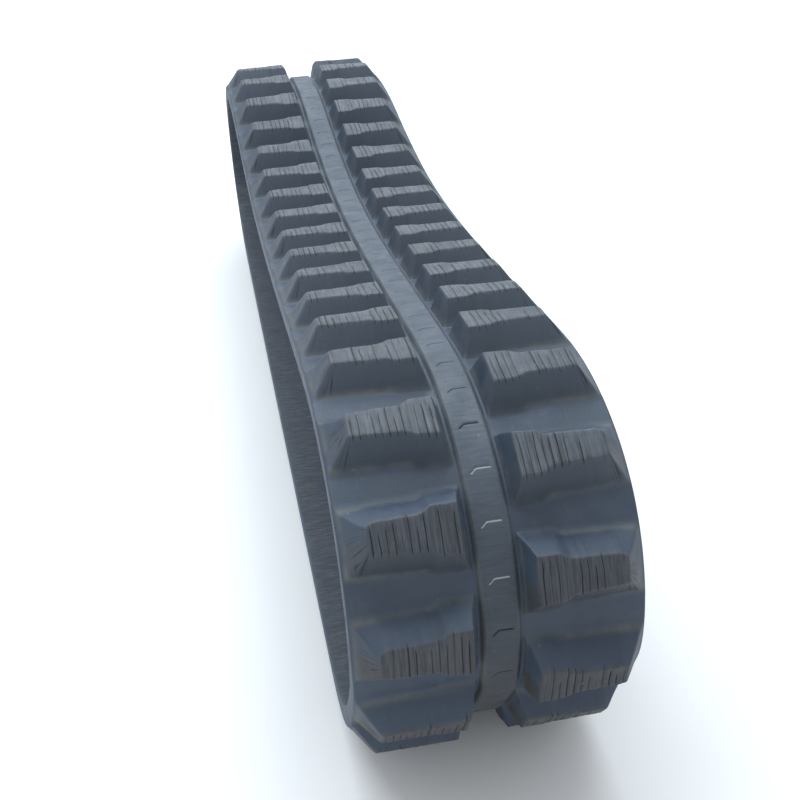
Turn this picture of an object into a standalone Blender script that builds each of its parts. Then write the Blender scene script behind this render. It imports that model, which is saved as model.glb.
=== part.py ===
"""Endless rubber track for a compact excavator, standing free on its lower run.

The loop lies in the XZ plane: X along the track, Y across it, Z up, the ground at Z = 0.
The band bends only halfway between neighbouring steel cores, so each core sits on a straight
facet one core pitch long. A run of facets is one flexing section, with a rubber body and a set
of cores joined by the two steel cord belts. Heights in a section are measured outwards from the
cord line, which keeps its length when the band bends.
"""

import math

import bmesh
import bpy
import numpy as np
from mathutils import Matrix, Vector

OBJECT_NAME = "rubber_track"

# Loop, in metres. Distances round the loop start at the middle of the lower run.
TRACK_WIDTH = 0.320
CORE_PITCH = 0.054
CORE_COUNT = 74
LOOP = CORE_COUNT * CORE_PITCH
FACET_PHASE = -0.0021  # where facet 0 starts
# Curvature in 1/m at distances along the loop, which runs from the ground up the near end.
LIFT_OFF = (0.850, 0.0)
TOE = (0.960, 5.8)
UNDER_NOSE = ((1.050, 4.8), (1.130, 0.0))
NOSE = ((1.200, 8.5), (1.270, 4.9), (1.380, 6.3))
CROWN = ((1.460, 3.8), (1.560, 2.9), (1.700, 0.1))
TOP_RUN = ((2.150, -0.27), (2.450, -0.6), (2.700, -0.2))
FAR_CROWN = ((2.850, 1.4), (2.950, 0.8))
FAR_NOSE = ((3.050, 5.5), (3.180, 7.0), (3.340, 6.1))
TOUCH_DOWN = ((3.500, 2.4), (3.660, 0.0))
BENDS = (LIFT_OFF, TOE, *UNDER_NOSE, *NOSE, *CROWN, *TOP_RUN, *FAR_CROWN, *FAR_NOSE, *TOUCH_DOWN)
CLOSING_BENDS = (3, 12, 16)  # places in BENDS of the three curvatures that close the loop
LINE_STEPS = 8000
CENTRE_SHIFT = 0.22512  # puts the middle of the overall length at X = 0

# Band: heights outwards from the cord line.
BAND_OUTER = 0.0105
BAND_INNER = -0.0140
BAND_CHAMFER = 0.003
RIB_HALF_WIDTH = 0.0222
RIB_TOP_HALF_WIDTH = 0.0185
RIB_HEIGHT = 0.006
WINDOW_HALF_WIDTH = 0.0235
WINDOW_FLOOR = -0.002
RIB_PIECE_HALF_WIDTH = 0.0232  # of the separate rib pieces along the ground
SECTION_GAP = 0.0012  # at each end of a section

# Tread lugs.
LUG_TOP = 0.0443
LUG_ROOT = 0.0070
LUG_BASE_HALF_LENGTH = 0.0263
LUG_TOP_OUTER_HALF_LENGTH = 0.0163
LUG_TOP_INNER_HALF_LENGTH = 0.0240
LUG_BASE_SIDES = (0.0290, 0.1560)
LUG_TOP_SIDES = (0.0368, 0.1330)

# Steel cores, their guide horns and the cord belts.
CORE_HALF_LENGTH = 0.0110
CORE_HALF_WIDTH = 0.1050
CORE_OUTER = -0.0040
CORE_INNER = -0.0120
HORN_SIDES = (0.0245, 0.0425)
HORN_TIP_SIDES = (0.0290, 0.0400)
HORN_TIP_HALF_LENGTH = 0.0070
HORN_TIP = -0.0400
BRIDGE_HALF_LENGTH = 0.0125  # the core's middle, which the sprocket teeth drive
BRIDGE_HALF_WIDTH = 0.0215
BRIDGE_OUTER = -0.0034
BRIDGE_INNER = -0.0126
BELT_SIDES = (0.0500, 0.1400)
BELT_OUTER = 0.0005
BELT_INNER = -0.0045
FIT_GAP = 0.0003  # rubber clears the steel by this much all round
BELT_END_GAP = 0.0018
CUT_PAST = 0.006

# Sections: the ground run's rigid lengths, then the facets in each section up either side.
GROUND_FOLDS = (16, 10, 5, -1, -6)
NEAR_SECTIONS = (("nose", (4, 2, 2, 2, 2, 2)), ("top", (4, 4, 3, 3)))
FAR_SECTIONS = (("nose", (2, 2, 2, 2, 2, 2, 2)), ("top", (3, 3, 4)))
FLAT_KINK = 1e-4

RUBBER_LOOK = ((0.055, 0.068, 0.085), 0.78, 0.0)
STEEL_LOOK = ((0.20, 0.19, 0.18), 0.55, 0.9)


def loop_line(nudges):
    """Distance, X, Z and heading of the cord line once round, with the closing bends nudged."""
    distance = np.linspace(0.0, LOOP, LINE_STEPS + 1)
    places, values = (np.array(column) for column in zip(*BENDS))
    values[list(CLOSING_BENDS)] += nudges
    bend = np.interp(distance, places, values, left=0.0, right=0.0)
    step = distance[1]
    heading = np.concatenate([[0.0], np.cumsum((bend[1:] + bend[:-1]) * step / 2)])
    run, rise = -np.cos(heading), np.sin(heading)
    x = np.concatenate([[0.0], np.cumsum((run[1:] + run[:-1]) * step / 2)])
    z = np.concatenate([[0.0], np.cumsum((rise[1:] + rise[:-1]) * step / 2)])
    return distance, x, z, heading


def closed_loop_line():
    """The line that comes back to its start after one whole turn."""
    tries = np.zeros(3)
    nudge = 1e-5
    for _ in range(12):
        errors = []
        for change in (np.zeros(3), *(nudge * np.eye(3))):
            _, x, z, heading = loop_line(tries + change)
            errors.append(np.array([x[-1], z[-1], heading[-1] - 2 * math.pi]))
        slope = np.column_stack([(error - errors[0]) / nudge for error in errors[1:]])
        tries = tries - np.linalg.solve(slope, errors[0])
    return loop_line(tries)


LOOP_LINE = closed_loop_line()


def cord_point(distance):
    """Point (x, z) of the cord line at a distance along the loop."""
    place, x, z, _ = LOOP_LINE
    distance = distance % LOOP
    across = np.interp(distance, place, x) + CENTRE_SHIFT
    return np.array([across, np.interp(distance, place, z) + LUG_TOP])


def fold_point(number):
    """The fold between facet number - 1 and facet number."""
    return cord_point(FACET_PHASE + number * CORE_PITCH)


def facet_direction(number):
    chord = fold_point(number + 1) - fold_point(number)
    return chord / np.linalg.norm(chord)


def outward(direction):
    """Unit vector out of the loop, for a (X, Z) direction round it."""
    return np.array([-direction[1], direction[0]])


def facet_frame(number):
    """Matrix from (along the band, across, outwards) to the world, centred on a facet."""
    along = facet_direction(number)
    out = outward(along)
    centre = (fold_point(number) + fold_point(number + 1)) / 2
    frame = Matrix.Identity(4)
    frame.col[0] = (along[0], 0.0, along[1], 0.0)
    frame.col[2] = (out[0], 0.0, out[1], 0.0)
    frame.col[3] = (centre[0], 0.0, centre[1], 1.0)
    return frame


def fold_frames(first, end, inset):
    """(point, outward direction) where an outline is placed: both ends, and each real fold."""
    frames = []
    for number in range(first, end + 1):
        before = facet_direction(number - 1)
        after = facet_direction(number)
        turn = math.atan2(before[0] * after[1] - before[1] * after[0], before @ after)
        middle = (before + after) / np.linalg.norm(before + after)
        mitre = outward(middle) / math.cos(turn / 2)
        point = fold_point(number)
        if number == first:
            frames.append((point + after * inset, mitre))
        elif number == end:
            frames.append((point - before * inset, mitre))
        elif abs(turn) > FLAT_KINK:
            frames.append((point, mitre))
    return frames


def face_out(bm, faces):
    """Turn the faces of one closed shell outwards."""
    volume = 0.0
    for face in faces:
        face.normal_update()
        volume += face.calc_center_median().dot(face.normal) * face.calc_area()
    if volume < 0:
        bmesh.ops.reverse_faces(bm, faces=faces)


def add_sweep(bm, outline, frames):
    """Loft a closed (across, outwards) outline through the frames, with both ends capped."""
    rings, faces = [], []
    for point, out in frames:
        ring = []
        for across, height in outline:
            place = point + out * height
            ring.append(bm.verts.new((place[0], across, place[1])))
        rings.append(ring)
    for ring, following in zip(rings, rings[1:]):
        for i in range(len(ring)):
            j = (i + 1) % len(ring)
            faces.append(bm.faces.new((ring[i], ring[j], following[j], following[i])))
    faces.append(bm.faces.new(reversed(rings[0])))
    faces.append(bm.faces.new(rings[-1]))
    face_out(bm, faces)


def add_block(bm, frame, sides, heights, half_lengths):
    """Add a tapered block whose two levels have their own sides across and half lengths along.

    sides and half_lengths hold one pair for the level at heights[0] and one for heights[1]; a
    pair gives the value at the side nearer the centre line and at the side further from it.
    """
    corners = bmesh.ops.create_cube(bm, size=2.0)["verts"]
    for corner in corners:
        along, across, up = corner.co
        level = int(up > 0)
        side = int(across > 0)
        reach = along * half_lengths[level][side]
        corner.co = frame @ Vector((reach, sides[level][side], heights[level]))
    face_out(bm, list({face for corner in corners for face in corner.link_faces}))


def mirrored(sides, hand):
    """Sides across for one hand of the track: 1 is +Y, and -1 is -Y."""
    return tuple(hand * value for value in sides)


def band_outline():
    half = TRACK_WIDTH / 2
    left = [
        (WINDOW_HALF_WIDTH, WINDOW_FLOOR),
        (WINDOW_HALF_WIDTH, BAND_INNER),
        (half - BAND_CHAMFER, BAND_INNER),
        (half, BAND_INNER + BAND_CHAMFER),
        (half, BAND_OUTER - BAND_CHAMFER),
        (half - BAND_CHAMFER, BAND_OUTER),
        (RIB_HALF_WIDTH, BAND_OUTER),
        (RIB_TOP_HALF_WIDTH, BAND_OUTER + RIB_HEIGHT),
    ]
    return left + [(-across, height) for across, height in reversed(left)]


def half_band_outline(hand):
    """One side of the band, without the rib."""
    half = TRACK_WIDTH / 2
    outline = [
        (WINDOW_HALF_WIDTH, BAND_INNER),
        (half - BAND_CHAMFER, BAND_INNER),
        (half, BAND_INNER + BAND_CHAMFER),
        (half, BAND_OUTER - BAND_CHAMFER),
        (half - BAND_CHAMFER, BAND_OUTER),
        (WINDOW_HALF_WIDTH, BAND_OUTER),
    ]
    return [(hand * across, height) for across, height in outline]


def rib_outline():
    left = [
        (RIB_PIECE_HALF_WIDTH, WINDOW_FLOOR),
        (RIB_PIECE_HALF_WIDTH, BAND_OUTER),
        (RIB_HALF_WIDTH, BAND_OUTER),
        (RIB_TOP_HALF_WIDTH, BAND_OUTER + RIB_HEIGHT),
    ]
    return left + [(-across, height) for across, height in reversed(left)]


def strip_outline(hand, sides, inner, outer):
    low, high = sorted(mirrored(sides, hand))
    return [(low, inner), (high, inner), (high, outer), (low, outer)]


def lug_hand(number):
    """Odd facets carry a lug on the +Y side, and even facets one on the -Y side."""
    return 1 if number % 2 else -1


def add_lug(bm, number):
    hand = lug_hand(number)
    base = (LUG_BASE_HALF_LENGTH, LUG_BASE_HALF_LENGTH)
    top = (LUG_TOP_INNER_HALF_LENGTH, LUG_TOP_OUTER_HALF_LENGTH)
    sides = (mirrored(LUG_BASE_SIDES, hand), mirrored(LUG_TOP_SIDES, hand))
    add_block(bm, facet_frame(number), sides, (LUG_ROOT, LUG_TOP), (base, top))


def add_core_bar(bm, number, gap=0.0, inner=CORE_INNER):
    reach = CORE_HALF_WIDTH + gap
    length = (CORE_HALF_LENGTH + gap,) * 2
    sides = ((-reach, reach),) * 2
    add_block(bm, facet_frame(number), sides, (inner, CORE_OUTER + gap), (length, length))


def add_horns_and_bridge(bm, number):
    root = (CORE_INNER + CORE_OUTER) / 2
    base = (CORE_HALF_LENGTH - FIT_GAP,) * 2
    tip = (HORN_TIP_HALF_LENGTH,) * 2
    for hand in (1, -1):
        sides = (mirrored(HORN_TIP_SIDES, hand), mirrored(HORN_SIDES, hand))
        add_block(bm, facet_frame(number), sides, (HORN_TIP, root), (tip, base))
    sides = ((-BRIDGE_HALF_WIDTH, BRIDGE_HALF_WIDTH),) * 2
    length = (BRIDGE_HALF_LENGTH,) * 2
    add_block(bm, facet_frame(number), sides, (BRIDGE_INNER, BRIDGE_OUTER), (length, length))


def material(name, look):
    colour, roughness, metallic = look
    made = bpy.data.materials.new(name)
    made.use_nodes = True
    shader = made.node_tree.nodes["Principled BSDF"]
    shader.inputs["Base Color"].default_value = (*colour, 1.0)
    shader.inputs["Roughness"].default_value = roughness
    shader.inputs["Metallic"].default_value = metallic
    made.diffuse_color = (*colour, 1.0)
    return made


def finished(name, bm, collection, surface=None):
    """Turn a bmesh into an object."""
    mesh = bpy.data.meshes.new(name)
    bm.to_mesh(mesh)
    bm.free()
    obj = bpy.data.objects.new(name, mesh)
    collection.objects.link(obj)
    if surface:
        mesh.materials.append(surface)
    return obj


def tool(name, bm, collection):
    """A solid that only takes part in Booleans."""
    obj = finished(name, bm, collection)
    obj.hide_render = True
    obj.display_type = "WIRE"
    return obj


def boolean(obj, other, operation):
    modifier = obj.modifiers.new(other.name, "BOOLEAN")
    modifier.operation = operation
    modifier.solver = "EXACT"
    modifier.object = other


def each_facet(add, facets, **settings):
    bm = bmesh.new()
    for number in facets:
        add(bm, number, **settings)
    return bm


def belts(first, end, gap, inset, hands=(1, -1)):
    bm = bmesh.new()
    sides = (BELT_SIDES[0] - gap, BELT_SIDES[1] + gap)
    for hand in hands:
        outline = strip_outline(hand, sides, BELT_INNER - gap, BELT_OUTER + gap)
        add_sweep(bm, outline, fold_frames(first, end, inset))
    return bm


def centred_on_fold(obj, number):
    """Put an object's origin on the fold that it turns about."""
    point = fold_point(number)
    origin = Vector((point[0], 0.0, point[1]))
    obj.data.transform(Matrix.Translation(-origin))
    obj.location = origin


def build_rubber(name, first, end, hinge, parts, cutters, surface, hands=(1, -1)):
    """A length of the whole band, or of one side of it when hands names only that side."""
    outline = band_outline() if len(hands) == 2 else half_band_outline(*hands)
    bm = bmesh.new()
    add_sweep(bm, outline, fold_frames(first, end, SECTION_GAP))
    obj = finished(name, bm, parts, surface)
    lug_facets = [number for number in range(first, end) if lug_hand(number) in hands]
    lugs = tool(name + "_lugs", each_facet(add_lug, lug_facets), cutters)
    past = BAND_INNER - CUT_PAST
    slots = each_facet(add_core_bar, range(first, end), gap=FIT_GAP, inner=past)
    slots = tool(name + "_core_slots", slots, cutters)
    ducts = tool(name + "_belt_ducts", belts(first, end, FIT_GAP, -CUT_PAST, hands), cutters)
    helpers = (lugs, slots, ducts)
    for one in (obj, *helpers):
        centred_on_fold(one, hinge)
    boolean(obj, lugs, "UNION")
    boolean(obj, slots, "DIFFERENCE")
    boolean(obj, ducts, "DIFFERENCE")


def build_rib(name, first, end, hinge, parts, surface):
    bm = bmesh.new()
    add_sweep(bm, rib_outline(), fold_frames(first, end, SECTION_GAP))
    centred_on_fold(finished(name, bm, parts, surface), hinge)


def build_cores(name, first, end, hinge, parts, cutters, surface):
    facets = range(first, end)
    obj = finished(name, belts(first, end, 0.0, BELT_END_GAP), parts, surface)
    bars = tool(name + "_bars", each_facet(add_core_bar, facets), cutters)
    horns = tool(name + "_horns", each_facet(add_horns_and_bridge, facets), cutters)
    for one in (obj, bars, horns):
        centred_on_fold(one, hinge)
    boolean(obj, bars, "UNION")
    boolean(obj, horns, "UNION")


def ground_sections():
    """(name, first facet, end facet, middle fold) of each rigid length, from the near end on."""
    pairs = zip(GROUND_FOLDS[1:], GROUND_FOLDS)
    return [
        (f"ground_{{}}_{i + 1}", first, end, (first + end) // 2)
        for i, (first, end) in enumerate(pairs)
    ]


def side_sections():
    """(name, first facet, end facet, hinge fold) of each flexing section, from the ground up."""
    sections = []
    fold = GROUND_FOLDS[0]
    for zone, counts in NEAR_SECTIONS:
        for i, count in enumerate(counts):
            sections.append((f"near_{zone}_{{}}_{i + 1}", fold, fold + count, fold))
            fold += count
    fold = GROUND_FOLDS[-1]
    for zone, counts in FAR_SECTIONS:
        for i, count in enumerate(counts):
            sections.append((f"far_{zone}_{{}}_{i + 1}", fold - count, fold, fold))
            fold -= count
    return sections


def main():
    for obj in list(bpy.data.objects):
        bpy.data.objects.remove(obj, do_unlink=True)
    parts = bpy.data.collections.new(OBJECT_NAME)
    cutters = bpy.data.collections.new("cutters")
    for collection in (parts, cutters):
        bpy.context.scene.collection.children.link(collection)
    rubber = material("tread_rubber", RUBBER_LOOK)
    steel = material("forged_steel", STEEL_LOOK)
    for label, *place in ground_sections():
        build_rib(label.format("rib_rubber"), *place, parts, rubber)
        for hand, side in ((1, "left_rubber"), (-1, "right_rubber")):
            build_rubber(label.format(side), *place, parts, cutters, rubber, (hand,))
        build_cores(label.format("cores"), *place, parts, cutters, steel)
    for label, *place in side_sections():
        build_rubber(label.format("rubber"), *place, parts, cutters, rubber)
        build_cores(label.format("cores"), *place, parts, cutters, steel)


main()
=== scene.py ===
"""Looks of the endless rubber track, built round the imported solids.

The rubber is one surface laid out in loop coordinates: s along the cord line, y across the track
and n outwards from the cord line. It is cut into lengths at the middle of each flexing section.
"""

import math

import bmesh
import bpy
import numpy as np
from mathutils import Matrix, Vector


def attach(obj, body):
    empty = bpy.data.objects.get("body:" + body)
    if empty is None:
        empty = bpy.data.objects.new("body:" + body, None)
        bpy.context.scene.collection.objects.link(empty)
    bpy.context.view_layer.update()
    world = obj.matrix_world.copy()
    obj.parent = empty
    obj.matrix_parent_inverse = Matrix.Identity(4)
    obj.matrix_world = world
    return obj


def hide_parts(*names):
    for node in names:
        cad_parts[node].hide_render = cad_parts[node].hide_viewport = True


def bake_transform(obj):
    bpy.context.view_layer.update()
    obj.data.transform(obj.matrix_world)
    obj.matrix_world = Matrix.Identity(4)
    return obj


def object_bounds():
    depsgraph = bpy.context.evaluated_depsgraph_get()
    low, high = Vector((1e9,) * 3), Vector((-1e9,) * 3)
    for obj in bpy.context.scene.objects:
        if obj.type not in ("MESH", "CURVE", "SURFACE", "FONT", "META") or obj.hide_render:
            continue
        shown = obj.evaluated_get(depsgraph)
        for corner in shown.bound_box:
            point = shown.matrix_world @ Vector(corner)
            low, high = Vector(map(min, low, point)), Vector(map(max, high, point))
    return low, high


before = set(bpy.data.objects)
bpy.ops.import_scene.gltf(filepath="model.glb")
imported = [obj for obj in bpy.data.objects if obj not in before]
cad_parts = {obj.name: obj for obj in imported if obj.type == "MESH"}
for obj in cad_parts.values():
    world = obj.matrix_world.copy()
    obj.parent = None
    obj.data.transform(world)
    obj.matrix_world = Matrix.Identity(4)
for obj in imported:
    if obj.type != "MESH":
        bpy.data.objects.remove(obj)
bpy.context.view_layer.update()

# Loop, in metres, as the solids have it: distances start on the lower run and go up the near end.
# Each bend is a distance and the line's curvature there, in radians a metre.
CORE_PITCH = 0.054
CORE_COUNT = 74
LOOP_LENGTH = CORE_COUNT * CORE_PITCH
FACET_PHASE = -0.0021
BENDS = (
    (0.850, 0.0),
    (0.960, 5.8),
    (1.050, 4.8),
    (1.130, 0.0),
    (1.200, 8.5),
    (1.270, 4.9),
    (1.380, 6.3),
    (1.460, 3.8),
    (1.560, 2.9),
    (1.700, 0.1),
    (2.150, -0.27),
    (2.450, -0.6),
    (2.700, -0.2),
    (2.850, 1.4),
    (2.950, 0.8),
    (3.050, 5.5),
    (3.180, 7.0),
    (3.340, 6.1),
    (3.500, 2.4),
    (3.660, 0.0),
)
CLOSING_BENDS = (3, 12, 16)
LINE_STEPS = 8000
CENTRE_SHIFT = 0.22512
LUG_TOP = 0.0443
BAND_OUTER = 0.0105
BAND_INNER = -0.0140
FIRST_FACET, END_FACET = -30, 44
HALF_FACET = CORE_PITCH / 2

# Rib, lugs and inner side.
RIB_HEIGHT = 0.0062
LUG_HEIGHT = LUG_TOP - BAND_OUTER
LUG_BASE_INNER, LUG_TOP_INNER = 0.0262, 0.0362
LUG_TOP_OUTER, LUG_BASE_OUTER = 0.1325, 0.1570
TOP_OUTER_HALF, TOP_TAPER, TOP_CRANK = 0.0163, 0.0035, 0.0060
BASE_OUTER_HALF, BASE_TAPER, BASE_CRANK = 0.0350, 0.0020, 0.0040
CRANK_FROM, CRANK_TO = 0.61, 0.75
LUG_HALF_MOST = 0.0262
EDGE_ROUND, CORNER_ROUND, FOOT_ROUND = 0.0026, 0.0040, 0.0060
GROOVES = 12
GROOVE_HALF = 0.0009
GROOVE_DEPTH = 0.0016
GROOVE_DRIFT, GROOVE_STRAY = 0.0009, 0.0008
CORE_PAD, CORE_COLLAR = 0.0013, 0.0034
# Middle and width of the painted highlight along each chamfer of the rib.
CHAMFER_HIGHLIGHT_Y, CHAMFER_HIGHLIGHT_WIDTH = 0.0193, 0.0012
BROAD_WAVE, FINE_WAVE, TOP_WAVE = 0.00045, 0.0002, 0.0003
FLANK_COLS, TOP_COLS = 5, 10
COLS = 2 * FLANK_COLS + TOP_COLS


def loop_line(nudges):
    """Distance, X, Z and heading of the cord line once round, with the closing bends nudged."""
    distance = np.linspace(0.0, LOOP_LENGTH, LINE_STEPS + 1)
    places, values = (np.array(column) for column in zip(*BENDS))
    values[list(CLOSING_BENDS)] += nudges
    bend = np.interp(distance, places, values, left=0.0, right=0.0)
    step = distance[1]
    heading = np.concatenate([[0.0], np.cumsum((bend[1:] + bend[:-1]) * step / 2)])
    run, rise = -np.cos(heading), np.sin(heading)
    x = np.concatenate([[0.0], np.cumsum((run[1:] + run[:-1]) * step / 2)])
    z = np.concatenate([[0.0], np.cumsum((rise[1:] + rise[:-1]) * step / 2)])
    return distance, x, z, heading


def closed_loop_line():
    """The line that comes back to its start after one whole turn."""
    tries = np.zeros(3)
    nudge = 1e-5
    for _ in range(12):
        errors = []
        for change in (np.zeros(3), *(nudge * np.eye(3))):
            _, x, z, heading = loop_line(tries + change)
            errors.append(np.array([x[-1], z[-1], heading[-1] - 2 * math.pi]))
        slope = np.column_stack([(error - errors[0]) / nudge for error in errors[1:]])
        tries = tries - np.linalg.solve(slope, errors[0])
    return loop_line(tries)


LINE = closed_loop_line()


def line_at(s):
    """Cord line point (x, z) and heading at loop distances s."""
    s = np.asarray(s, float) % LOOP_LENGTH
    x = np.interp(s, LINE[0], LINE[1]) + CENTRE_SHIFT
    return x, np.interp(s, LINE[0], LINE[2]) + LUG_TOP, np.interp(s, LINE[0], LINE[3])


def smooth_place(s, n):
    """(x, z) of loop coordinates on the smooth band."""
    x, z, heading = line_at(s)
    return x - n * np.sin(heading), z - n * np.cos(heading)


def rigid_place(centre, u, n):
    """(x, z) at u along and n out from the loop distance centre, as on a stiff block."""
    x, z, heading = line_at(centre)
    cos, sin = np.cos(heading), np.sin(heading)
    return x - u * cos - n * sin, z + u * sin - n * cos


def fold_s(number):
    """Loop distance of a fold, which lies half way between two cores."""
    return FACET_PHASE + np.asarray(number, float) * CORE_PITCH


def fold_xz(number):
    """(x, z) of a fold on the cord line."""
    x, z, _ = line_at(fold_s(number))
    return np.stack([x, z], -1)


def facet_place(number, u, n):
    """(x, z) on the facets, which the stiff cores keep flat; they are mitred at the folds."""
    a, b = fold_xz(number), fold_xz(number + 1)
    share = (u + HALF_FACET)[..., None] / CORE_PITCH
    point = a + (b - a) * share

    def out(first, second):
        d = second - first
        d = d / np.linalg.norm(d, axis=-1, keepdims=True)
        return np.stack([-d[..., 1], d[..., 0]], -1)

    own = out(a, b)
    near = out(fold_xz(number - 1), a) + own
    far = out(b, fold_xz(number + 2)) + own
    toward = np.where((u < 0)[..., None], near, far)
    toward = toward / np.linalg.norm(toward, axis=-1, keepdims=True)
    toward = toward / np.sum(toward * own, -1, keepdims=True)
    weight = np.clip((np.abs(u) - 0.013) / (HALF_FACET - 0.013), 0, 1)[..., None]
    normal = own * (1 - weight) + toward * weight
    place = point + normal * n[..., None]
    return place[..., 0], place[..., 1]


def smooth_min(a, b, k):
    """The lower of two values, rounded where they are within k of each other."""
    d = np.maximum(k - np.abs(a - b), 0.0)
    return np.minimum(a, b) - d * d / (4 * k)


def smooth_max(a, b, k):
    return -smooth_min(-a, -b, k)


def smooth_step(x, low, high):
    """0 below low, 1 above high and an S curve between."""
    t = np.clip((x - low) / (high - low), 0.0, 1.0)
    return t * t * (3 - 2 * t)


def lattice(ix, iy, iz, seed):
    """A repeatable random number in 0..1 for each whole-number place."""
    ix, iy, iz = (np.asarray(v).astype(np.int64) for v in (ix, iy, iz))
    h = (ix * 73856093) ^ (iy * 19349663) ^ (iz * 83492791) ^ (seed * 40503 + 12345)
    h = ((h & 0xFFFFFFF) * 1274126177) & 0xFFFFFFF
    h = ((h ^ (h >> 15)) * 1846822519) & 0xFFFFFFF
    return ((h ^ (h >> 13)) & 0xFFFF) / 65535.0


def noise(x, y, z, size, seed):
    """Smooth noise in -1..1 whose features are about size across."""
    p = [np.asarray(v, float) / size for v in (x, y, z)]
    cell = [np.floor(v).astype(np.int64) for v in p]
    part = [v - c for v, c in zip(p, cell)]
    part = [f * f * (3 - 2 * f) for f in part]
    total = 0.0
    for corner in range(8):
        step = [(corner >> k) & 1 for k in range(3)]
        weight = 1.0
        for k in range(3):
            weight = weight * (part[k] if step[k] else 1 - part[k])
        total = total + weight * lattice(*(cell[k] + step[k] for k in range(3)), seed)
    return total * 2 - 1


def per_lug(lug, index, seed):
    """A random number in 0..1 for each lug and index."""
    return lattice(lug_key(lug), np.asarray(index) + 7, 3, seed)


def lug_key(lug):
    """The same number for a lug wherever it is counted from."""
    return np.asarray(lug) % CORE_COUNT


# Rows round the section of one half: (kind, y, n); lug rows leave n to the lug's own height.
def rib_rows():
    rows = [(y / 1000, 1.0) for y in (0, 2.2, 4.4, 6.6, 8.8, 11.0, 13.2, 15.4, 17.2)]
    rows += [(0.0184, 0.93), (0.0195, 0.66), (0.0208, 0.26), (0.0220, 0.06)]
    return [("rib", y, BAND_OUTER + RIB_HEIGHT * share) for y, share in rows]


def groove_places():
    """Distances from the centre line of the grooves in a lug's top."""
    first, last = LUG_TOP_INNER + 0.0050, LUG_TOP_OUTER - 0.0045
    return np.linspace(first, last, GROOVES)


def lug_rows():
    rows = [0.0236, 0.0250, 0.0262, 0.0275, 0.0292, 0.0312, 0.0332, 0.0348, 0.0358, 0.0366, 0.0378]
    places = groove_places()
    gap = places[1] - places[0]
    for k, place in enumerate(places):
        rows += [place - GROOVE_HALF, place, place + GROOVE_HALF]
        if k < GROOVES - 1:
            rows.append(place + gap / 2)
    rows += [0.1306, 0.1318, 0.1330, 0.1343, 0.1365, 0.1395, 0.1430, 0.1465, 0.1500, 0.1530]
    rows += [0.1552, 0.1570]
    return [("lug", y, BAND_OUTER) for y in rows]


def side_rows():
    edge = [(0.1583, 0.0104), (0.1592, 0.0098), (0.1598, 0.0086), (0.1600, 0.0070)]
    wall = [(0.1600, 0.0036), (0.1600, 0.0014), (0.1603, 0.0004), (0.1603, -0.0006)]
    wall += [(0.1600, -0.0016), (0.1600, -0.0050), (0.1600, -0.0090), (0.1599, -0.0112)]
    wall += [(0.1594, -0.0128), (0.1583, -0.0137)]
    return [("edge", y, n) for y, n in edge] + [("wall", y, n) for y, n in wall]


def inner_rows():
    ys = (0.1560, 0.1450, 0.1330, 0.1200, 0.1110, 0.1070, 0.1030, 0.0940, 0.0800, 0.0660)
    ys += (0.0560, 0.0500, 0.0465, 0.0440, 0.0420, 0.0380, 0.0330, 0.0290, 0.0262, 0.0246)
    rows = [("inner", y, BAND_INNER) for y in ys]
    wall = [(0.0238, -0.0128), (0.0235, -0.0110), (0.0235, -0.0065), (0.0234, -0.0032)]
    wall += [(0.0226, -0.0021), (0.0190, -0.0020), (0.0100, -0.0020), (0.0, -0.0020)]
    return rows + [("window", y, n) for y, n in wall]


ROWS = rib_rows() + lug_rows() + side_rows() + inner_rows()
KINDS = np.array([row[0] for row in ROWS])
ROW_Y = np.array([row[1] for row in ROWS])
ROW_N = np.array([row[2] for row in ROWS])
GROOVE_OF_ROW = np.full(len(ROWS), -1)
for groove_index, groove_place in enumerate(groove_places()):
    GROOVE_OF_ROW[(KINDS == "lug") & (np.abs(ROW_Y - groove_place) < 1e-7)] = groove_index


def lug_edges(lug, side, y):
    """Half lengths of a lug at its top and its foot, on one side, at y from the centre line."""
    t = np.clip((LUG_TOP_OUTER - y) / (LUG_TOP_OUTER - LUG_TOP_INNER), -0.3, 1.1)
    shift = (per_lug(lug, 1, 3) - 0.5) * 0.05
    crank = smooth_step(t, CRANK_FROM + shift, CRANK_TO + shift)
    taper = np.clip(t, 0, 1)
    top = TOP_OUTER_HALF + TOP_TAPER * taper + TOP_CRANK * crank
    foot = BASE_OUTER_HALF + BASE_TAPER * taper + BASE_CRANK * crank
    chamfer = np.maximum(y - 0.1255, 0.0) * np.where(side > 0, 0.55, 0.12)
    key = lug_key(lug)
    ragged = noise(y, key * 0.37, side * 0.11, 0.0042, 5) * 0.00055
    ragged += noise(y, key * 0.53, side * 0.23, 0.014, 6) * 0.0009
    size = (per_lug(lug, 2, 4) - 0.5) * 0.0012
    return np.minimum(top - chamfer + ragged + size, LUG_HALF_MOST), foot + size


def lug_height(u, y, top, foot):
    """Height of a lug over the band floor: a frustum with rounded edges and a fillet at its foot."""
    flank = LUG_HEIGHT * (foot - np.abs(u)) / (foot - top)
    inner = LUG_HEIGHT * (y - LUG_BASE_INNER) / (LUG_TOP_INNER - LUG_BASE_INNER)
    outer = LUG_HEIGHT * (LUG_BASE_OUTER - y) / (LUG_BASE_OUTER - LUG_TOP_OUTER)
    body = smooth_min(smooth_min(inner, outer, CORNER_ROUND), flank, CORNER_ROUND)
    return smooth_max(smooth_min(body, LUG_HEIGHT, EDGE_ROUND), 0.0, FOOT_ROUND)


def spread(low, high, first, last, count):
    """count + 1 places from low to high with a short first and last step."""
    inside = np.linspace(0.0, 1.0, count - 1)
    span = (high - low)[..., None]
    first = np.minimum(first, np.abs(span) * 0.2)
    last = np.minimum(last, np.abs(span) * 0.2)
    middle = (low[..., None] + first) + (span - first - last) * inside
    return np.concatenate([low[..., None], middle, high[..., None]], -1)


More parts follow.
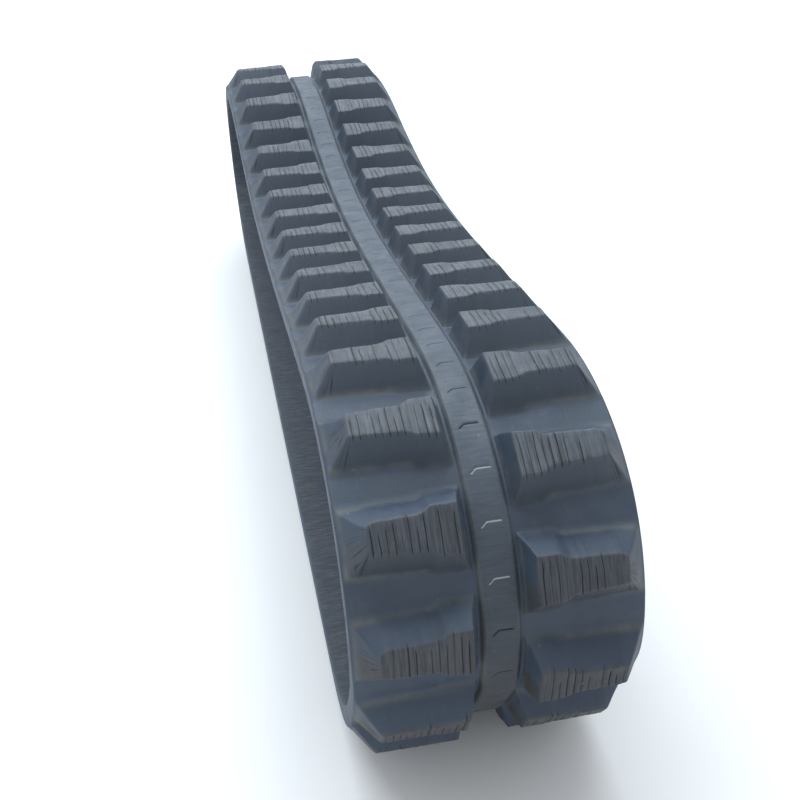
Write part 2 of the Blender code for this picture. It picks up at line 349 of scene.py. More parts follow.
def half_steps(low, high, first, count):
    """count + 1 places from low to high with a short first step."""
    span = (high - low)[..., None]
    first = np.minimum(first, span * 0.25)
    rest = low[..., None] + first + (span - first) * np.linspace(0.0, 1.0, count)
    return np.concatenate([low[..., None], rest], -1)


def lug_cell(number, y, rise):
    """Places along a facet that carries a lug, -HALF_FACET to HALF_FACET, at each row."""
    halves = []
    for side in (-1, 1):
        top, foot = lug_edges(number, side, y)
        halves.append(np.clip(foot + (top - foot) * rise, 0.004, LUG_HALF_MOST))
    low = -half_steps(halves[0], np.full_like(y, HALF_FACET), 0.0011, FLANK_COLS)[..., ::-1]
    high = half_steps(halves[1], np.full_like(y, HALF_FACET), 0.0011, FLANK_COLS)
    top = spread(-halves[0], halves[1], 0.0014, 0.0014, TOP_COLS)
    return np.concatenate([low[..., :-1], top, high[..., 1:]], -1)


def gap_cell(number, y):
    """The same for a facet between two lugs of that side."""
    before = lug_edges(number - 1, 1, y)[1] - CORE_PITCH
    after = CORE_PITCH - lug_edges(number + 1, -1, y)[1]
    share = np.linspace(0.0, 1.0, FLANK_COLS + 1)
    low = -HALF_FACET + (before + HALF_FACET)[..., None] * share
    high = after[..., None] + (HALF_FACET - after)[..., None] * share
    floor = before[..., None] + (after - before)[..., None] * np.linspace(0, 1, TOP_COLS + 1)
    return np.concatenate([low[..., :-1], floor, high[..., 1:]], -1)


MARK_FROM, MARK_TURN, MARK_TO = 0.0100, 0.0040, -0.0115
MARK_CENTRE = 0.0021
SLIT_HALF, SLIT_RIM = 0.0004, 0.0010
SLIT_REACH = 0.00055
THIN_SLIT, OPEN_SLIT = 0.0009, 0.0020


def mark_line(y):
    """Where the slit in the rib lies along the facet, at signed y."""
    return MARK_CENTRE - np.clip(y - MARK_TURN, 0.0, MARK_FROM - MARK_TURN) * 0.9


def rib_cell(y):
    """Places along a facet on the rib, crowded round the slit."""
    slit = mark_line(y)[..., None]
    before, after = 10, 7
    low = -HALF_FACET + (slit - SLIT_RIM + HALF_FACET) * np.linspace(0, 1, before + 1)
    high = slit + SLIT_RIM + (HALF_FACET - slit - SLIT_RIM) * np.linspace(0, 1, after + 1)
    inside = np.concatenate([slit - SLIT_HALF, slit + SLIT_HALF], -1)
    return np.concatenate([low, inside, high], -1)


INNER_CELL = np.array(
    [-27, -24, -21, -18, -15.5, -13.6, -12, -9, -6, -3, 0, 3, 6, 9, 12, 13.6, 15.5, 18, 21, 24, 27]
) / 1000


def lug_hand(number):
    """The side that carries a lug on this facet: 1 for +Y and -1 for -Y."""
    return 1 if number % 2 else -1


ON_LUG = KINDS == "lug"
ON_INNER = (KINDS == "inner") | (KINDS == "window")
CALM_KINDS = ("rib", "window", "wall")


def row_shares():
    """Of each row: how far its columns follow the lugs, and how far it lies on the stiff facets."""
    warp = np.where(ON_LUG, smooth_step(ROW_Y, 0.0225, 0.0275), 0.0)
    warp = np.where(KINDS == "edge", 1 - smooth_step(ROW_Y, 0.1570, 0.1601), warp)
    deep = np.where(KINDS == "wall", smooth_step(-ROW_N, -0.0040, 0.0137), 0.0)
    return warp, np.where(ON_INNER, 1.0, deep)


def flat_columns(values):
    """Rows by columns, with each facet's last column dropped but the last one's."""
    joined = values[:, :, :-1].reshape(len(ROWS), -1)
    return np.concatenate([joined, values[:, -1:, -1]], 1)


def lay_columns(hand, warp, deep):
    """Loop distance, place on the facet, facet and lug of every point, as rows by columns."""
    rise_in = (ROW_Y - LUG_BASE_INNER) / (LUG_TOP_INNER - LUG_BASE_INNER)
    rise_out = (LUG_BASE_OUTER - ROW_Y) / (LUG_BASE_OUTER - LUG_TOP_OUTER)
    rise = np.clip(np.minimum(rise_in, rise_out), 0.0, 1.0)
    rib = rib_cell(hand * np.minimum(ROW_Y, 0.0240))
    flat = np.linspace(-HALF_FACET, HALF_FACET, COLS + 1)[None, :]
    rib = np.where((KINDS == "rib")[:, None], rib, flat + 0 * rib)
    plain = rib * (1 - deep[:, None]) + INNER_CELL[None, :] * deep[:, None]
    numbers = np.arange(FIRST_FACET, END_FACET)
    u = np.zeros((len(ROWS), len(numbers), COLS + 1))
    lug = np.zeros_like(u)
    for i, number in enumerate(numbers):
        own = lug_hand(number) == hand
        warped = lug_cell(number, ROW_Y, rise) if own else gap_cell(number, ROW_Y)
        u[:, i] = warped * warp[:, None] + plain * (1 - warp[:, None])
        lug[:, i] = number if own else np.where(u[:, i] < 0, number - 1, number + 1)
    facet = np.broadcast_to(numbers[None, :, None], u.shape).astype(float)
    s = fold_s(facet) + HALF_FACET + u
    return (flat_columns(v) for v in (s, u, facet, lug))


def lug_grooves(groove, lug, from_lug, top, share):
    """0 to 1 in the grooves along the lug tops, each fading somewhere on its way back."""
    strength = per_lug(lug, groove, 11) * 0.85 + 0.15
    strength = strength * (per_lug(lug, groove, 13) > 0.12)
    reach = top * (1.35 * per_lug(lug, groove, 12) + 0.15)
    along = smooth_step(-(from_lug - reach), -0.003, 0.006)
    along = along * smooth_step(np.abs(from_lug) - top, 0.0065, 0.0005)
    return strength * along * smooth_step(share, 0.80, 0.97)


def groove_drift(hand, groove, lug, from_lug, y):
    """How far a point of a lug's top is shifted across the track, so that no groove is straight."""
    drift = noise(from_lug, y, lug_key(lug) * 0.31 + hand, 0.02, 21) * GROOVE_DRIFT
    stray = (per_lug(lug, groove + 40 * (groove < 0), 14) - 0.5) * GROOVE_STRAY
    drift += stray * (groove >= 0)
    return drift


def rib_slits(u, y):
    """1 in the slit in the rib at every core, at signed y."""
    marked = (KINDS == "rib")[:, None] & (np.abs(u - mark_line(y)) < SLIT_REACH)
    marked &= (y < MARK_FROM - SLIT_HALF) & (y > MARK_TO)
    return np.where(marked, 1.0, 0.0)


def core_swell(u, y):
    """How far the rubber over the cores stands out on the inner side."""
    core = smooth_step(-np.abs(u), -0.0160, -0.0120)
    pad = smooth_step(y, 0.0236, 0.0256) * smooth_step(-y, -0.1110, -0.1030)
    collar = smooth_step(y, 0.0236, 0.0262) * smooth_step(-y, -0.0490, -0.0430)
    swell = CORE_PAD * core * pad + CORE_COLLAR * core * collar
    return np.where((KINDS == "inner")[:, None], swell, 0.0)


def build_half(hand):
    """Loop coordinates and masks of one half of the band, as arrays of rows by columns."""
    warp, deep = row_shares()
    s, u, facet, lug = lay_columns(hand, warp, deep)
    yy = np.broadcast_to(ROW_Y[:, None], s.shape).copy()
    nn = np.broadcast_to(ROW_N[:, None], s.shape).copy()
    on = ON_LUG[:, None] & np.ones_like(s, bool)
    lug_s = fold_s(lug) + HALF_FACET
    from_lug = s - lug_s
    side = np.where(from_lug < 0, -1.0, 1.0)
    top, foot = lug_edges(lug, side, yy)
    height = np.where(on, lug_height(from_lug, yy, top, foot), 0.0)
    share = np.clip(height / LUG_HEIGHT, 0.0, 1.0)
    on_top = np.where(on, smooth_step(share, 0.90, 0.995), 0.0)

    groove = GROOVE_OF_ROW[:, None] + 0 * s
    groove_mask = lug_grooves(groove, lug, from_lug, top, share)
    groove_mask = np.where((groove >= 0) & on, groove_mask, 0)
    drift = groove_drift(hand, groove, lug, from_lug, yy)
    yy = yy + drift * on_top * smooth_step(yy, 0.038, 0.044) * smooth_step(-yy, -0.131, -0.124)
    nn = nn + height - GROOVE_DEPTH * groove_mask

    style = mark_style(facet)
    mark = rib_slits(u, hand * yy)
    nn = nn - mark * np.where(style == 2, OPEN_SLIT, THIN_SLIT)
    nn = nn - core_swell(u, yy)

    # Rubber is never quite flat.
    x, z = smooth_place(s, nn)
    wave = noise(x, hand * yy, z, 0.045, 31) * BROAD_WAVE
    wave = wave + noise(x, hand * yy, z, 0.012, 32) * FINE_WAVE
    wave = wave + on_top * noise(x, hand * yy, z, 0.006, 33) * TOP_WAVE
    calm = np.where(np.isin(KINDS, CALM_KINDS), 0.45, 1.0)[:, None]
    nn = nn + wave * calm - on_top * TOP_WAVE
    yy = yy + np.where(on, share * (1 - on_top), 0.0) * noise(x, hand * yy, z, 0.03, 34) * 0.0006
    yy[0], yy[-1] = 0.0, 0.0

    # The band bends smoothly, the lugs stay stiff and the inner side lies on the facets.
    sx, sz = smooth_place(s, nn)
    rx, rz = rigid_place(lug_s, from_lug, nn)
    px, pz = sx + (rx - sx) * share, sz + (rz - sz) * share
    fx, fz = facet_place(facet, u, nn)
    deep = np.broadcast_to(deep[:, None], s.shape)
    px, pz = px + (fx - px) * deep, pz + (fz - pz) * deep
    masks = {
        "top": on_top,
        "groove": groove_mask,
        "edge": np.where(on, np.exp(-(((share - 0.955) / 0.045) ** 2)), 0.0),
        "foot": np.where(on, np.exp(-(((share - 0.10) / 0.07) ** 2)), 0.0),
        "near": np.where(on & (side < 0), smooth_step(share, 0.04, 0.2) * (1 - on_top), 0.0),
        "mark_dark": mark * (style != 1),
        "mark_white": mark * (style == 1),
        # A pale strip along the rib's chamfers: a painted highlight.
        "chamfer_highlight": np.exp(-(((yy - CHAMFER_HIGHLIGHT_Y) / CHAMFER_HIGHLIGHT_WIDTH) ** 2)) * (KINDS == "rib")[:, None],
        "inside": np.broadcast_to(ON_INNER[:, None], s.shape).astype(float),
        "rib": np.broadcast_to((KINDS == "rib")[:, None], s.shape).astype(float),
        "lug_u": from_lug * (yy > 0.0),
        "lug_id": per_lug(lug, 9, 77),
    }
    return {"place": (px, hand * yy, pz), "loop": (s, hand * yy, nn), "masks": masks}


# Styles of the slits on the near end's facets; the others take theirs at random.
MARKS = {22: 0, 23: 2, 24: 1, 25: 1, 26: 1, 27: 2, 28: 0}


def mark_style(facet):
    """0 for a thin dark slit, 1 for a pale one and 2 for an open one."""
    whole = facet.astype(np.int64)
    style = np.where(lattice(whole + 99, 1, 2, 5) > 0.86, 1.0, 0.0)
    for number, kind in MARKS.items():
        style = np.where(whole == number, float(kind), style)
    return style


def joined_halves():
    """The whole section as one ring of rows: +Y half outside to inside, then the -Y half back."""
    left, right = build_half(1), build_half(-1)

    def ring(a, b):
        return np.concatenate([a, b[-2:0:-1]], 0)

    place = [ring(a, b) for a, b in zip(left["place"], right["place"])]
    loop = [ring(a, b) for a, b in zip(left["loop"], right["loop"])]
    masks = {k: ring(left["masks"][k], right["masks"][k]) for k in left["masks"]}
    return np.stack(place, -1), np.stack(loop, -1), masks


PLACE, LOOP, MASKS = joined_halves()


def ring_normals(place):
    """Vertex normals of the whole ring, so that the cuts between lengths don't show."""
    across = np.roll(place, -1, 0) - np.roll(place, 1, 0)
    ends = np.concatenate([place[:, -2:-1], place, place[:, 1:2]], 1)
    along = ends[:, 2:] - ends[:, :-2]
    normal = np.cross(across, along)
    normal /= np.maximum(np.linalg.norm(normal, axis=-1, keepdims=True), 1e-12)
    return normal


NORMALS = ring_normals(PLACE)
# Attribute groups of the masks; the groove channel of 'wear' also drives the painted shade in the
# grooves.
MASK_GROUPS = {
    "wear": ("top", "groove", "edge", "foot"),
    "marks_and_highlight": ("near", "mark_dark", "mark_white", "chamfer_highlight"),
    "zone": ("inside", "rib", "lug_u", "lug_id"),
}


def rubber_length(name, first, end):
    """The band from fold first to fold end, closed at both cuts."""
    a, b = (first - FIRST_FACET) * COLS, (end - FIRST_FACET) * COLS
    rows, cols = PLACE.shape[0], b - a + 1
    co = PLACE[:, a : b + 1].reshape(-1, 3)
    index = np.arange(rows * cols).reshape(rows, cols)
    after = np.roll(index, -1, 0)
    quads = np.stack([index[:, :-1], after[:, :-1], after[:, 1:], index[:, 1:]], -1)
    quads = quads.reshape(-1, 4)
    faces = [tuple(q) for q in quads.tolist()]
    faces += [tuple(index[::-1, 0].tolist()), tuple(index[:, -1].tolist())]
    mesh = bpy.data.meshes.new(name)
    mesh.from_pydata(co.tolist(), [], faces)
    mesh.update()
    volume = np.einsum(
        "ij,ij->i",
        co[quads[:, 0]],
        np.cross(co[quads[:, 1]] - co[quads[:, 0]], co[quads[:, 3]] - co[quads[:, 0]]),
    ).sum()
    normals = NORMALS[:, a : b + 1].reshape(-1, 3)
    if volume < 0:
        mesh.flip_normals()
    outward = 1.0 if outwards(normals, co) else -1.0
    mesh.shade_smooth()
    mesh.normals_split_custom_set_from_vertices((normals * outward).tolist())
    store(mesh, "loop", LOOP[:, a : b + 1].reshape(-1, 3))
    for group, keys in MASK_GROUPS.items():
        values = np.stack([MASKS[k][:, a : b + 1].reshape(-1) for k in keys], -1)
        store(mesh, group, values)
    obj = bpy.data.objects.new(name, mesh)
    bpy.context.scene.collection.objects.link(obj)
    return obj


def outwards(normals, co):
    """Whether normals point out of the band: on the sidewalls that is away from the middle."""
    side = np.abs(co[:, 1]) > 0.1598
    return float((normals[side, 1] * np.sign(co[side, 1])).mean()) > 0


def store(mesh, name, values):
    """Keep three or four values a vertex as an attribute for the materials."""
    kind = "FLOAT_VECTOR" if values.shape[1] == 3 else "FLOAT_COLOR"
    attribute = mesh.attributes.new(name, kind, "POINT")
    key = "vector" if kind == "FLOAT_VECTOR" else "color"
    attribute.data.foreach_set(key, np.ascontiguousarray(values, np.float32).ravel())


def shell(vertices, faces, rings):
    """Add closed shells lofted through rings, each an array of the same number of points."""
    base = len(vertices)
    count = len(rings[0])
    for ring in rings:
        vertices.extend(ring.tolist())
    for k in range(len(rings) - 1):
        for i in range(count):
            j = (i + 1) % count
            a, b = base + k * count, base + (k + 1) * count
            faces.append((a + i, a + j, b + j, b + i))
    faces.append(tuple(base + i for i in reversed(range(count))))
    faces.append(tuple(base + (len(rings) - 1) * count + i for i in range(count)))


def rounded_ring(low, high, sharp, count=24):
    """Points of a rounded rectangle between two corners (a, b)."""
    angle = (np.arange(count) + 0.5) * 2 * np.pi / count
    c, s = np.cos(angle), np.sin(angle)
    a = np.sign(c) * np.abs(c) ** sharp
    b = np.sign(s) * np.abs(s) ** sharp
    low, high = np.array(low), np.array(high)
    return (low + high) / 2 + np.stack([a, b], -1) * (high - low) / 2


def facet_points(number, u, y, n):
    """World points from facet coordinates."""
    a, b = fold_xz(number), fold_xz(number + 1)
    d = (b - a) / np.linalg.norm(b - a)
    out = np.array([-d[1], d[0]])
    xz = (a + b) / 2 + u[:, None] * d + n[:, None] * out
    return np.stack([xz[:, 0], y, xz[:, 1]], -1)


# Guide horn, from its foot to its tip: n, half length, inner and outer y and corner sharpness.
HORN_LEVELS = (
    (-0.0090, 0.0107, 0.0243, 0.0428, 0.35),
    (-0.0150, 0.0106, 0.0245, 0.0424, 0.38),
    (-0.0185, 0.0100, 0.0250, 0.0417, 0.42),
    (-0.0260, 0.0091, 0.0263, 0.0410, 0.45),
    (-0.0340, 0.0082, 0.0277, 0.0404, 0.50),
    (-0.0380, 0.0074, 0.0287, 0.0397, 0.55),
    (-0.0394, 0.0063, 0.0298, 0.0386, 0.62),
    (-0.0399, 0.0043, 0.0315, 0.0369, 0.75),
)
# Core bar, from its end to its middle: y, half length and the two faces' n.
BAR_LEVELS = (
    (-0.1050, 0.0094, -0.0112, -0.0052),
    (-0.1035, 0.0108, -0.0119, -0.0042),
    (-0.0260, 0.0110, -0.0120, -0.0040),
    (-0.0225, 0.0113, -0.0121, -0.0039),
    (-0.0205, 0.0124, -0.0126, -0.0035),
    (-0.0120, 0.0125, -0.0127, -0.0034),
)


def core_shapes(name, first, end):
    """The forged cores of a length: a bar with a thicker bridge, and two guide horns on each."""
    vertices, faces = [], []
    for number in range(first, end):
        for hand in (1, -1):
            rings = []
            for n, half, inner, outer, sharp in HORN_LEVELS:
                lean = 0.0004 * (lattice(number + 200, hand + 5, 1, 9) - 0.5)
                ring = rounded_ring((-half + lean, inner), (half + lean, outer), sharp)
                rings.append(
                    facet_points(number, ring[:, 0], hand * ring[:, 1], np.full(len(ring), n))
                )
            shell(vertices, faces, rings)
        rings = []
        levels = BAR_LEVELS + tuple((-y, h, a, b) for y, h, a, b in reversed(BAR_LEVELS))
        for y, half, low, high in levels:
            ring = rounded_ring((-half, low), (half, high), 0.4)
            rings.append(facet_points(number, ring[:, 0], np.full(len(ring), y), ring[:, 1]))
        shell(vertices, faces, rings)
    mesh = bpy.data.meshes.new(name)
    mesh.from_pydata(vertices, [], faces)
    fix_islands(mesh)
    mesh.shade_smooth()
    obj = bpy.data.objects.new(name, mesh)
    bpy.context.scene.collection.objects.link(obj)
    return obj


def fix_islands(mesh):
    """Turn every shell outwards."""
    bm = bmesh.new()
    bm.from_mesh(mesh)
    bmesh.ops.recalc_face_normals(bm, faces=bm.faces)
    bm.to_mesh(mesh)
    bm.free()


# Materials.
class Graph:
    """Short ways to make shader nodes."""

    def __init__(self, name):
        self.material = bpy.data.materials.new(name)
        self.material.use_nodes = True
        self.tree = self.material.node_tree
        self.shader = self.tree.nodes["Principled BSDF"]

    def node(self, kind, inputs=(), **settings):
        made = self.tree.nodes.new(kind)
        for key, value in settings.items():
            setattr(made, key, value)
        for key, value in dict(inputs).items():
            self.put(made.inputs[key], value)
        return made

    def put(self, socket, value):
        if isinstance(value, bpy.types.NodeSocket):
            self.tree.links.new(value, socket)
        elif isinstance(value, tuple) and len(value) == 3 and socket.type == "RGBA":
            socket.default_value = (*value, 1.0)
        else:
            socket.default_value = value

    def math(self, operation, a, b=0.0, clamp=False):
        made = self.node("ShaderNodeMath", {0: a, 1: b}, operation=operation, use_clamp=clamp)
        return made.outputs[0]

    def mix(self, share, a, b, blend="MIX"):
        made = self.node("ShaderNodeMix", data_type="RGBA", blend_type=blend)
        self.put(made.inputs[0], share)
        self.put(made.inputs[6], a)
        self.put(made.inputs[7], b)
        return made.outputs[2]

    def attribute(self, name):
        return self.node("ShaderNodeAttribute", attribute_name=name)

    def channels(self, name):
        found = self.attribute(name)
        split = self.node("ShaderNodeSeparateColor", {0: found.outputs["Color"]})
        return (*split.outputs[:3], found.outputs["Alpha"])

    def scaled(self, vector, scale):
        made = self.node("ShaderNodeVectorMath", {0: vector, 1: scale}, operation="MULTIPLY")
        return made.outputs[0]

    def noise(self, vector, scale, detail=4.0, rough=0.55, distortion=0.0):
        inputs = {"Vector": vector, "Scale": scale, "Detail": detail, "Roughness": rough}
        inputs["Distortion"] = distortion
        return self.node("ShaderNodeTexNoise", inputs).outputs[0]

    def span(self, value, low, high, to_low=0.0, to_high=1.0):
        inputs = {0: value, 1: low, 2: high, 3: to_low, 4: to_high}
        return self.node("ShaderNodeMapRange", inputs, clamp=True).outputs[0]

    def bump(self, height, strength, distance, normal=None):
        inputs = {"Height": height, "Strength": strength, "Distance": distance}
        if normal is not None:
            inputs["Normal"] = normal
        return self.node("ShaderNodeBump", inputs).outputs[0]


def crack_fan(g, loop, lug_u, lug_id):
    """Fine cracks that spread from the outer end of each lug's top down to the sidewall."""
    across = g.node("ShaderNodeSeparateXYZ", {0: loop}).outputs[1]
    reach = g.math("SUBTRACT", g.math("ABSOLUTE", across), 0.1150)
    angle = g.math("ARCTAN2", g.math("SUBTRACT", lug_u, 0.006), reach)
    rays = g.math("ADD", g.math("MULTIPLY", angle, 7.0), g.math("MULTIPLY", lug_id, 40.0))
    place = g.node("ShaderNodeCombineXYZ", {0: rays, 1: g.math("MULTIPLY", reach, 12.0)})
    lines = g.node("ShaderNodeTexNoise", {"Vector": place.outputs[0], "Scale": 1.0, "Detail": 1.0})
    thin = g.math("ABSOLUTE", g.math("SUBTRACT", lines.outputs[0], 0.5))
    thin = g.span(thin, 0.010, 0.028, 0.9, 0.0)
    zone = g.math("MULTIPLY", g.span(reach, 0.014, 0.020), g.span(reach, 0.030, 0.039, 1.0, 0.0))
    zone = g.math("MULTIPLY", zone, g.span(lug_u, 0.004, 0.016, 1.0, 0.0))
    return g.math("MULTIPLY", thin, g.math("MULTIPLY", zone, g.span(lug_u, -0.034, -0.026)))


# Loop distances: the middle of the lower run, and how far from it the rubber turns from the browner
# tone of the noses to the bluer one of the upper run: that blue is painted sky light.
GROUND_MIDDLE = 0.27
SKY_LIGHT_FROM, SKY_LIGHT_TO = 0.93, 1.19


def rubber_material():
    """Dusty black rubber, with what the attributes say of lug tops, grooves, slits and cracks."""
    g = Graph("tread_rubber")
    loop = g.attribute("loop").outputs["Vector"]
    top, groove, edge, foot = g.channels("wear")
    near, dark_mark, white_mark, chamfer_highlight = g.channels("marks_and_highlight")
    inside, rib, lug_u, lug_id = g.channels("zone")
    broad = g.noise(loop, 9.0, 3.0)
    cloud = g.noise(loop, 38.0, 5.0, 0.6)
    grain = g.noise(loop, 420.0, 4.0, 0.6)
    fine = g.noise(loop, 1500.0, 2.0)
    lines = g.noise(g.scaled(loop, (26.0, 330.0, 60.0)), 1.0, 4.0, 0.62)
    hair = g.noise(g.scaled(loop, (55.0, 1100.0, 120.0)), 1.0, 3.0, 0.6)
    drag = g.noise(g.scaled(loop, (420.0, 40.0, 90.0)), 1.0, 4.0, 0.6)

    # Base tone of the rubber, tinted blue as painted sky light on the up-facing floors between the
    # lugs.
    colour = g.mix(g.span(broad, 0.35, 0.68), (0.026, 0.041, 0.068), (0.036, 0.055, 0.086))
    colour = g.mix(g.span(cloud, 0.42, 0.72, 0.0, 0.55), colour, (0.050, 0.072, 0.102))
    along = g.node("ShaderNodeSeparateXYZ", {0: loop}).outputs[0]
    from_middle = g.math("ABSOLUTE", g.math("SUBTRACT", along, GROUND_MIDDLE))
    # 0 on the ground and the noses, 1 on the upper run, where the rubber takes its painted sky
    # light.
    high = g.span(from_middle, SKY_LIGHT_FROM, SKY_LIGHT_TO)
    # Near flanks: browner on the ground and noses for the dirt on them, bluer on the upper run as
    # painted sky light.
    slope = g.mix(high, (0.040, 0.038, 0.034), (0.050, 0.064, 0.086))
    colour = g.mix(g.math("MULTIPLY", near, 0.85), colour, slope)
    dust = g.math("MULTIPLY", foot, g.span(cloud, 0.35, 0.65, 0.15, 0.75))
    colour = g.mix(dust, colour, (0.115, 0.118, 0.105))
    # Lug tops: a random tone for each lug, dark and neutral on the ground and noses, bluer on the
    # upper run as a painted reflection of the sky.
    top_colour = g.mix(g.span(lug_id, 0.0, 1.0), (0.056, 0.068, 0.086), (0.076, 0.090, 0.110))
    top_colour = g.mix(high, g.mix(lug_id, (0.036, 0.037, 0.039), (0.050, 0.051, 0.052)), top_colour)
    top_colour = g.mix(g.span(lines, 0.36, 0.62, 0.75, 0.0), top_colour, (0.014, 0.013, 0.014))
    top_colour = g.mix(g.span(hair, 0.56, 0.72, 0.0, 0.6), top_colour, (0.100, 0.112, 0.128))
    colour = g.mix(g.math("MULTIPLY", top, 0.9), colour, top_colour)
    worn = g.math("MULTIPLY", edge, g.span(cloud, 0.34, 0.70, 0.0, 0.45))
    colour = g.mix(worn, colour, (0.080, 0.096, 0.116))
    # Rib: streaked tone, darker and neutral on the ground and noses, bluer on the upper run as
    # painted sky light.
    rib_tone = g.mix(g.span(drag, 0.38, 0.70), (0.044, 0.057, 0.076), (0.074, 0.094, 0.118))
    rib_tone = g.mix(high, g.mix(drag, (0.030, 0.033, 0.038), (0.052, 0.055, 0.060)), rib_tone)
    colour = g.mix(g.math("MULTIPLY", rib, 0.75), colour, rib_tone)
    # Painted highlight: a pale strip along each chamfer of the rib, where it catches the light.
    colour = g.mix(g.math("MULTIPLY", chamfer_highlight, 0.5), colour, (0.175, 0.180, 0.165))
    fan = crack_fan(g, loop, lug_u, lug_id)
    colour = g.mix(fan, colour, (0.010, 0.010, 0.012))
    cells = g.node(
        "ShaderNodeTexVoronoi", {"Vector": loop, "Scale": 70.0, "Randomness": 1.0}
    ).outputs["Distance"]
    speck = g.math("MULTIPLY", g.span(cells, 0.0, 0.16, 1.0, 0.0), g.span(grain, 0.52, 0.62))
    speck = g.math("MULTIPLY", speck, g.span(broad, 0.50, 0.60, 0.0, 0.5))
    colour = g.mix(speck, colour, (0.34, 0.36, 0.37))
    # Inner side: the pale streaks across it are painted highlights on its small cross ridges.
    hollow = g.mix(g.span(drag, 0.45, 0.70), (0.034, 0.040, 0.050), (0.115, 0.120, 0.128))
    colour = g.mix(g.math("MULTIPLY", inside, 0.65), colour, hollow)
    # The grooves are darkened: partly the dark of the cracks, partly painted shade inside them.
    colour = g.mix(g.span(groove, 0.05, 0.45, 0.0, 0.96), colour, (0.006, 0.006, 0.007))
    colour = g.mix(dark_mark, colour, (0.004, 0.004, 0.005))
    colour = g.mix(white_mark, colour, (0.42, 0.44, 0.45))
    g.put(g.shader.inputs["Base Color"], colour)

    rough = g.span(cloud, 0.3, 0.75, 0.42, 0.66)
    rough = g.math("ADD", rough, g.math("MULTIPLY", grain, 0.12))
    rough = g.math("ADD", rough, g.math("MULTIPLY", groove, 0.25), clamp=True)
    g.put(g.shader.inputs["Roughness"], rough)
    g.shader.inputs["Specular IOR Level"].default_value = 0.5

    relief = g.bump(lines, 0.35, 0.0012)
    relief = g.bump(drag, 0.12, 0.0008, relief)
    relief = g.bump(cloud, 0.25, 0.0016, relief)
    relief = g.bump(grain, 0.22, 0.0006, relief)
    relief = g.bump(fine, 0.15, 0.0002, relief)
    g.put(g.shader.inputs["Normal"], relief)
    return g.material


def steel_material():
    """Forged steel with scale, some rust and edges worn bright."""
    g = Graph("forged_steel")
    place = g.node("ShaderNodeTexCoord").outputs["Object"]
    scale = g.noise(place, 60.0, 6.0, 0.65)
    pits = g.noise(place, 420.0, 4.0, 0.6)
    rust = g.noise(place, 22.0, 5.0, 0.6, 0.4)
    wear = g.node("ShaderNodeNewGeometry").outputs["Pointiness"]
    colour = g.mix(g.span(scale, 0.35, 0.7), (0.060, 0.058, 0.057), (0.130, 0.125, 0.118))
    colour = g.mix(g.span(rust, 0.52, 0.72, 0.0, 0.75), colour, (0.120, 0.062, 0.034))
    colour = g.mix(g.span(wear, 0.52, 0.60, 0.0, 0.7), colour, (0.36, 0.35, 0.34))
    g.put(g.shader.inputs["Base Color"], colour)
    g.put(g.shader.inputs["Roughness"], g.span(scale, 0.3, 0.75, 0.38, 0.72))
    g.shader.inputs["Metallic"].default_value = 0.75
    relief = g.bump(scale, 0.4, 0.0008)
    g.put(g.shader.inputs["Normal"], g.bump(pits, 0.3, 0.0003, relief))
    return g.material


def floor_material():
    g = Graph("studio_floor")
    place = g.node("ShaderNodeTexCoord").outputs["Object"]
    tone = g.noise(place, 1.5, 3.0)
    colour = g.mix(g.span(tone, 0.3, 0.7), (0.83, 0.83, 0.83), (0.86, 0.86, 0.86))
    g.put(g.shader.inputs["Base Color"], colour)
    g.shader.inputs["Roughness"].default_value = 0.8
    return g.material


RUBBER = rubber_material()
STEEL = steel_material()
# Of each side: section names, the fold each section turns about and the cuts between lengths.
SIDES = {
    "near": (
        tuple(f"nose_{i}" for i in range(1, 7)) + tuple(f"top_{i}" for i in range(1, 5)),
        (16, 20, 22, 24, 26, 28, 30, 34, 38, 41, 44),
        (15, 18, 21, 23, 25, 27, 29, 32, 36, 39, 44),
    ),
    "far": (
        tuple(f"nose_{i}" for i in range(1, 8)) + tuple(f"top_{i}" for i in range(1, 4)),
        (-6, -8, -10, -12, -14, -16, -18, -20, -23, -26, -30),
        (-5, -7, -9, -11, -13, -15, -17, -19, -21, -24, -30),
    ),
}
# The same for the lengths on the ground.
GROUND_FOLDS = (16, 10, 5, -1, -6)
GROUND_CUTS = (15, 10, 5, -1, -5)


def dress(obj, material, slot, *nodes):
    """Give a piece its material, and let it stand for its CAD nodes, which are hidden."""
    obj.data.materials.append(material)
    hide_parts(*nodes)


def build_ground():
    for i in range(len(GROUND_CUTS) - 1):
        k = i + 1
        rubber = rubber_length(f"tread_ground_{k}", GROUND_CUTS[i + 1], GROUND_CUTS[i])
        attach(rubber, "ground_run")
        nodes = [f"ground_{side}_rubber_{k}" for side in ("left", "right", "rib")]
        dress(rubber, RUBBER, "tread_rubber", *nodes)
        cores = core_shapes(f"cores_ground_{k}", GROUND_FOLDS[i + 1], GROUND_FOLDS[i])
        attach(cores, "ground_run")
        dress(cores, STEEL, "forged_steel", f"ground_cores_{k}")


def build_side(side):
    names, folds, cuts = SIDES[side]
    for i, section in enumerate(names):
        body = f"{side}_{section}"
        zone, number = section.split("_")
        first, end = sorted(cuts[i : i + 2])
        rubber = rubber_length(f"tread_{body}", first, end)
        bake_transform(rubber)
        dress(rubber, RUBBER, "tread_rubber", f"{side}_{zone}_rubber_{number}")
        first, end = sorted(folds[i : i + 2])
        cores = core_shapes(f"cores_{body}", first, end)
        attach(cores, body)
        dress(cores, STEEL, "forged_steel", f"{side}_{zone}_cores_{number}")


build_ground()
build_side("near")
build_side("far")


# Studio.
def build_floor():
    half = 14.0
    mesh = bpy.data.meshes.new("studio_floor")
    corners = [(-half, -half, 0), (half, -half, 0), (half, half, 0), (-half, half, 0)]
    mesh.from_pydata(corners, [], [(0, 1, 2, 3)])
    floor = bpy.data.objects.new("studio_floor", mesh)
    bpy.context.scene.collection.objects.link(floor)
    floor.location.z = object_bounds()[0][2] - 0.0003
    mesh.materials.append(floor_material())


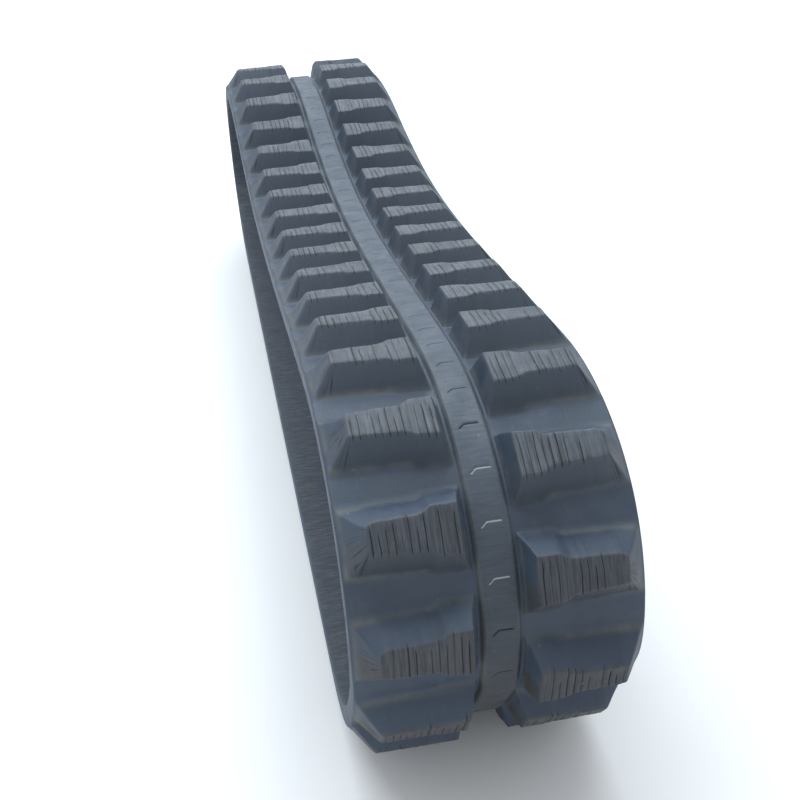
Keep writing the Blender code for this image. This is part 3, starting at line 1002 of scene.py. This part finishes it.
def add_area(name, place, target, size, power, colour):
    """A soft rectangular light at place that faces target."""
    light = bpy.data.lights.new(name, "AREA")
    light.shape = "RECTANGLE"
    light.size, light.size_y = size
    light.energy = power
    light.color = colour
    obj = bpy.data.objects.new(name, light)
    bpy.context.scene.collection.objects.link(obj)
    back = (np.array(place) - np.array(target)).astype(float)
    back /= np.linalg.norm(back)
    right = np.cross((0.0, 0.0, 1.0), back)
    right /= np.linalg.norm(right)
    up = np.cross(back, right)
    obj.matrix_world = axes_matrix(right, up, back, place)
    return obj


def axes_matrix(right, up, back, place):
    """A placement matrix from its three axes and its place."""
    matrix = Matrix.Identity(4)
    for column, axis in enumerate((right, up, back, place)):
        for row in range(3):
            matrix[row][column] = float(axis[row])
    return matrix


def build_lights():
    world = bpy.data.worlds.new("studio")
    world.use_nodes = True
    background = world.node_tree.nodes["Background"]
    background.inputs[0].default_value = (0.92, 0.96, 1.0, 1.0)
    background.inputs[1].default_value = 0.82
    bpy.context.scene.world = world
    add_area("overhead", (1.2, 0.3, 4.0), (0.1, 0.0, 0.3), (4.5, 4.0), 215.0, (0.84, 0.93, 1.0))
    add_area("back", (4.6, -1.0, 2.4), (0.0, 0.0, 0.4), (3.5, 2.0), 55.0, (0.80, 0.91, 1.0))


CAMERA_PLACE = (-1.83858, 0.25680, 1.17840)
CAMERA_YAW, CAMERA_PITCH, CAMERA_ROLL = -0.1694, -0.5532, -0.0407
CAMERA_LENS = 55.09


def build_camera():
    data = bpy.data.cameras.new("camera")
    data.sensor_width = 36.0
    data.lens = CAMERA_LENS
    data.clip_start, data.clip_end = 0.05, 60.0
    camera = bpy.data.objects.new("camera", data)
    bpy.context.scene.collection.objects.link(camera)
    yaw, pitch, roll = CAMERA_YAW, CAMERA_PITCH, CAMERA_ROLL
    ahead = np.array(
        [math.cos(yaw) * math.cos(pitch), math.sin(yaw) * math.cos(pitch), math.sin(pitch)]
    )
    right = np.array([math.sin(yaw), -math.cos(yaw), 0.0])
    up = np.cross(right, ahead)
    turned = math.cos(roll) * right + math.sin(roll) * up
    raised = -math.sin(roll) * right + math.cos(roll) * up
    camera.matrix_world = axes_matrix(turned, raised, -ahead, CAMERA_PLACE)
    bpy.context.scene.camera = camera


build_floor()
build_lights()
build_camera()
bpy.context.scene.view_settings.view_transform = "Standard"
